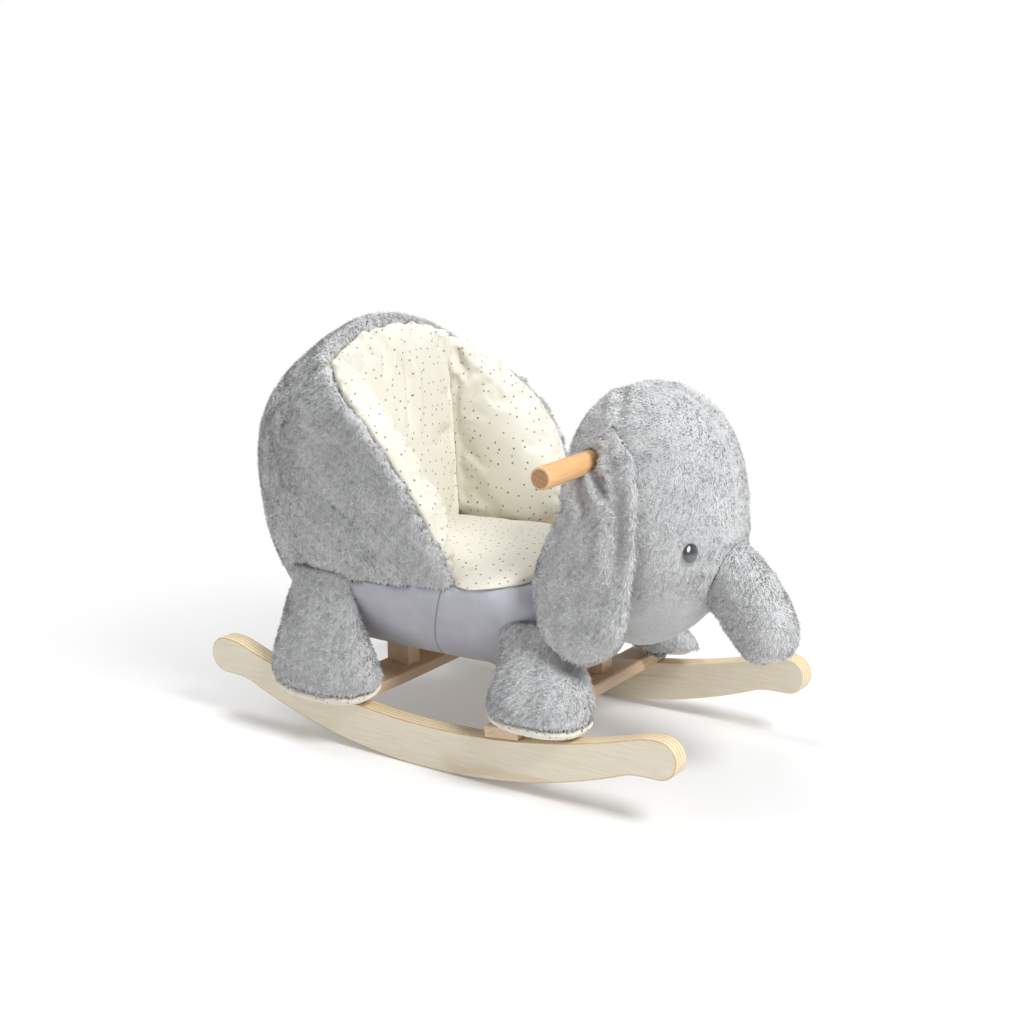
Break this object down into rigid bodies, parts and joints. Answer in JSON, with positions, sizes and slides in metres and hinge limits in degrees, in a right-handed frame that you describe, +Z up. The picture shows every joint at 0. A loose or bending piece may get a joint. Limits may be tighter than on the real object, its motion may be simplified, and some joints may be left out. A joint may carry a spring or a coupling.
{
  "type": "rocking elephant",
  "caption": "Stuffed elephant seat with padded back and wings, hanging ears, trunk and wooden handle, on two curved plywood rockers with cross bars.",
  "frame": {"origin": "centre of the bounding box in plan, on the floor that the rockers stand on", "axes": "+X forward towards the trunk, +Y to the elephant's left, +Z up"},
  "size_m": [0.673, 0.3728, 0.462],
  "materials": {
    "plywood": "clear matt lacquer, plies showing at the edges",
    "pine": "planed, clear matt lacquer",
    "beech": "turned smooth, clear satin lacquer",
    "zinc_steel": "zinc plated",
    "fur": "short soft plush pile",
    "velour": "smooth short velour",
    "dotted_cotton": "cream cotton with small dark dots",
    "embroidery": "raised satin stitch"
  },
  "bodies": {
    "frame": {"rocker_right": "plywood", "rocker_left": "plywood", "crossbar_front": "pine", "spacer_block_front_right": "pine", "spacer_block_front_left": "pine", "crossbar_rear": "pine", "spacer_block_rear_right": "pine", "spacer_block_rear_left": "pine", "base_board": "plywood", "side_board_right": "plywood", "side_board_left": "plywood", "back_board": "plywood", "head_post": "plywood", "handle_dowel": "beech", "front_bar_screw_right_front": "zinc_steel", "front_bar_screw_right_rear": "zinc_steel", "front_bar_screw_left_front": "zinc_steel", "front_bar_screw_left_rear": "zinc_steel", "rear_bar_screw_right_front": "zinc_steel", "rear_bar_screw_right_rear": "zinc_steel", "rear_bar_screw_left_front": "zinc_steel", "rear_bar_screw_left_rear": "zinc_steel", "front_bolt_right": "zinc_steel", "front_bolt_left": "zinc_steel", "rear_bolt_right": "zinc_steel", "rear_bolt_left": "zinc_steel", "back_board_screw_right": "zinc_steel", "side_board_screw_right_front": "zinc_steel", "side_board_screw_right_rear": "zinc_steel", "back_board_screw_left": "zinc_steel", "side_board_screw_left_front": "zinc_steel", "side_board_screw_left_rear": "zinc_steel", "head_post_screw_front": "zinc_steel", "head_post_screw_rear": "zinc_steel", "front_tee_nut_right": "zinc_steel", "front_tee_nut_left": "zinc_steel", "rear_tee_nut_right": "zinc_steel", "rear_tee_nut_left": "zinc_steel", "belly": "velour", "body_back": "fur", "body_side_right": "fur", "body_side_left": "fur", "back_pad": "dotted_cotton", "wing_pad_right": "dotted_cotton", "wing_pad_left": "dotted_cotton", "seat_pad": "dotted_cotton", "head": "fur", "trunk": "fur", "eye_right": "embroidery", "eye_left": "embroidery"},
    "ear_right": {"ear_right": "fur"},
    "leg_front_right": {"leg_front_right": "fur", "sole_front_right": "dotted_cotton"},
    "leg_rear_right": {"leg_rear_right": "fur", "sole_rear_right": "dotted_cotton"},
    "ear_left": {"ear_left": "fur"},
    "leg_front_left": {"leg_front_left": "fur", "sole_front_left": "dotted_cotton"},
    "leg_rear_left": {"leg_rear_left": "fur", "sole_rear_left": "dotted_cotton"}
  },
  "joints": [
    {"name": "ear_right_swing", "type": "hinge", "parent": "frame", "child": "ear_right", "pos_m": [0.13349, -0.093, 0.345], "axis": [-0.4512, -0.3991, -0.7982], "range_deg": [0, 35]},
    {"name": "leg_front_right_swing", "type": "hinge", "parent": "frame", "child": "leg_front_right", "pos_m": [0.10149, -0.111, 0.172], "axis": [-1, 0, 0], "range_deg": [0, 12]},
    {"name": "leg_rear_right_swing", "type": "hinge", "parent": "frame", "child": "leg_rear_right", "pos_m": [-0.17051, -0.1433, 0.19], "axis": [-1, 0, 0], "range_deg": [0, 25]},
    {"name": "ear_left_swing", "type": "hinge", "parent": "frame", "child": "ear_left", "pos_m": [0.13349, 0.093, 0.345], "axis": [0.4512, -0.3991, 0.7982], "range_deg": [0, 35]},
    {"name": "leg_front_left_swing", "type": "hinge", "parent": "frame", "child": "leg_front_left", "pos_m": [0.10149, 0.111, 0.172], "axis": [1, 0, 0], "range_deg": [0, 12]},
    {"name": "leg_rear_left_swing", "type": "hinge", "parent": "frame", "child": "leg_rear_left", "pos_m": [-0.17051, 0.1433, 0.19], "axis": [1, 0, 0], "range_deg": [0, 25]}
  ]
}
